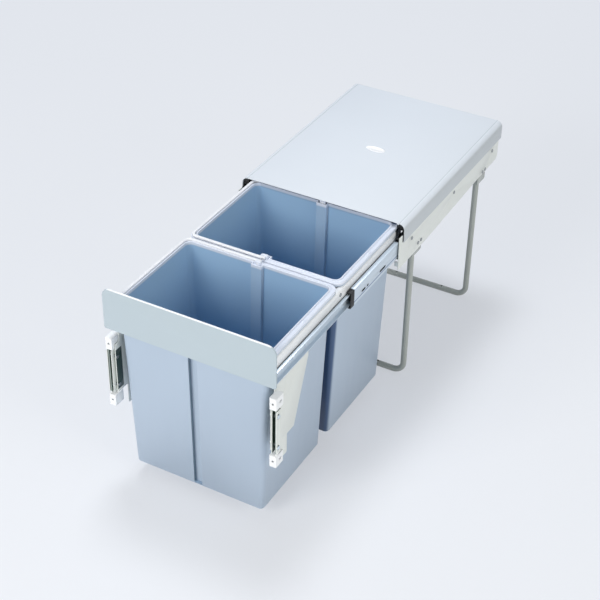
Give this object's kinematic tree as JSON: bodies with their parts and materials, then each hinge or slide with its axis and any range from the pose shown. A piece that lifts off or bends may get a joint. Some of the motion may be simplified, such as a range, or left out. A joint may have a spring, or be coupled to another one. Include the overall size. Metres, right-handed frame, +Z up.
{
  "type": "pull-out waste bin",
  "caption": "Pull-out waste bin for a base cabinet: open bins hang in a carriage that runs out on telescopic ball slides from under a fixed lid on bent-bar legs.",
  "frame": {"origin": "on the floor, midway between the outer faces of the lid's sides, under the lid's front edge, which is midway between the panel's front and the lid's back at rest", "axes": "+X to the right as seen from the cabinet door, +Y to the back of the cabinet, +Z up"},
  "size_m": [0.345, 0.922, 0.405],
  "materials": {
    "lid_paint": "satin",
    "badge": "gloss",
    "cream_paint": "satin",
    "leg_paint": "satin",
    "zinc": "satin",
    "rivet": "satin",
    "ball": "polished",
    "black_plastic": "matte",
    "white_paint": "satin",
    "panel_paint": "satin",
    "bin_plastic": "matte",
    "handle_plastic": "satin"
  },
  "bodies": {
    "fixed_frame": {"lid_cover": "lid_paint", "lid_badge": "badge", "side_bracket_left": "cream_paint", "side_bracket_right": "cream_paint", "lid_rests": "black_plastic", "lid_rest_screws": "zinc", "front_leg": "leg_paint", "rear_leg": "leg_paint", "leg_rivets": "rivet", "slide_rivets": "rivet", "slide_outer_left": "zinc", "slide_outer_right": "zinc", "outer_end_stop_left": "black_plastic", "outer_end_stop_right": "black_plastic"},
    "carriage": {"slide_inner_left": "zinc", "slide_inner_right": "zinc", "carriage_rail_left": "white_paint", "carriage_rail_right": "white_paint", "front_crossbar": "white_paint", "middle_crossbar": "white_paint", "rear_crossbar": "white_paint", "crossbar_rivets": "rivet", "front_panel": "panel_paint", "panel_studs": "zinc", "panel_nuts": "zinc", "slide_screws": "zinc", "slide_nuts": "zinc", "door_side_plate_left": "cream_paint", "door_side_plate_right": "cream_paint", "door_channel_left": "cream_paint", "door_channel_right": "cream_paint", "channel_rivets": "rivet", "rear_bin": "bin_plastic", "rear_bin_handle": "handle_plastic"},
    "front_bin": {"front_bin": "bin_plastic"},
    "front_bin_handle": {"front_bin_handle": "handle_plastic"},
    "slide_middle_left": {"slide_middle_left": "zinc", "middle_end_stop_left": "black_plastic"},
    "outer_cage_left": {"outer_ball_cage_left": "zinc", "outer_balls_left": "ball"},
    "inner_cage_left": {"inner_ball_cage_left": "zinc", "inner_balls_left": "ball"},
    "door_bracket_left": {"door_bracket_left": "white_paint", "clamp_screws_left": "zinc"},
    "slide_middle_right": {"slide_middle_right": "zinc", "middle_end_stop_right": "black_plastic"},
    "outer_cage_right": {"outer_ball_cage_right": "zinc", "outer_balls_right": "ball"},
    "inner_cage_right": {"inner_ball_cage_right": "zinc", "inner_balls_right": "ball"},
    "door_bracket_right": {"door_bracket_right": "white_paint", "clamp_screws_right": "zinc"}
  },
  "joints": [
    {"name": "carriage_slide", "type": "slide", "parent": "fixed_frame", "child": "carriage", "axis": [0, -1, 0], "range_m": [-0.437, 0]},
    {"name": "slide_middle_left_run", "type": "slide", "parent": "fixed_frame", "child": "slide_middle_left", "axis": [0, -1, 0], "range_m": [-0.2185, 0]},
    {"name": "outer_cage_left_run", "type": "slide", "parent": "fixed_frame", "child": "outer_cage_left", "axis": [0, -1, 0], "range_m": [-0.10925, 0]},
    {"name": "inner_cage_left_run", "type": "slide", "parent": "fixed_frame", "child": "inner_cage_left", "axis": [0, -1, 0], "range_m": [-0.32775, 0]},
    {"name": "slide_middle_right_run", "type": "slide", "parent": "fixed_frame", "child": "slide_middle_right", "axis": [0, -1, 0], "range_m": [-0.2185, 0]},
    {"name": "outer_cage_right_run", "type": "slide", "parent": "fixed_frame", "child": "outer_cage_right", "axis": [0, -1, 0], "range_m": [-0.10925, 0]},
    {"name": "inner_cage_right_run", "type": "slide", "parent": "fixed_frame", "child": "inner_cage_right", "axis": [0, -1, 0], "range_m": [-0.32775, 0]},
    {"name": "front_bin_lift", "type": "slide", "parent": "carriage", "child": "front_bin", "axis": [0, 0, 1], "range_m": [0, 0.36]},
    {"name": "front_bin_handle_swing", "type": "hinge", "parent": "front_bin", "child": "front_bin_handle", "pos_m": [0, -0.3398, 0.3784], "axis": [0, 1, 0], "range_deg": [0, 180]},
    {"name": "door_bracket_left_adjust", "type": "slide", "parent": "carriage", "child": "door_bracket_left", "axis": [0, 0, 1], "range_m": [-0.004, 0.004]},
    {"name": "door_bracket_right_adjust", "type": "slide", "parent": "carriage", "child": "door_bracket_right", "axis": [0, 0, 1], "range_m": [-0.004, 0.004]}
  ],
  "couplings": [
    {"joint": "slide_middle_left_run", "follows": "carriage_slide", "ratio": 0.5},
    {"joint": "outer_cage_left_run", "follows": "carriage_slide", "ratio": 0.25},
    {"joint": "inner_cage_left_run", "follows": "carriage_slide", "ratio": 0.75},
    {"joint": "slide_middle_right_run", "follows": "carriage_slide", "ratio": 0.5},
    {"joint": "outer_cage_right_run", "follows": "carriage_slide", "ratio": 0.25},
    {"joint": "inner_cage_right_run", "follows": "carriage_slide", "ratio": 0.75}
  ]
}
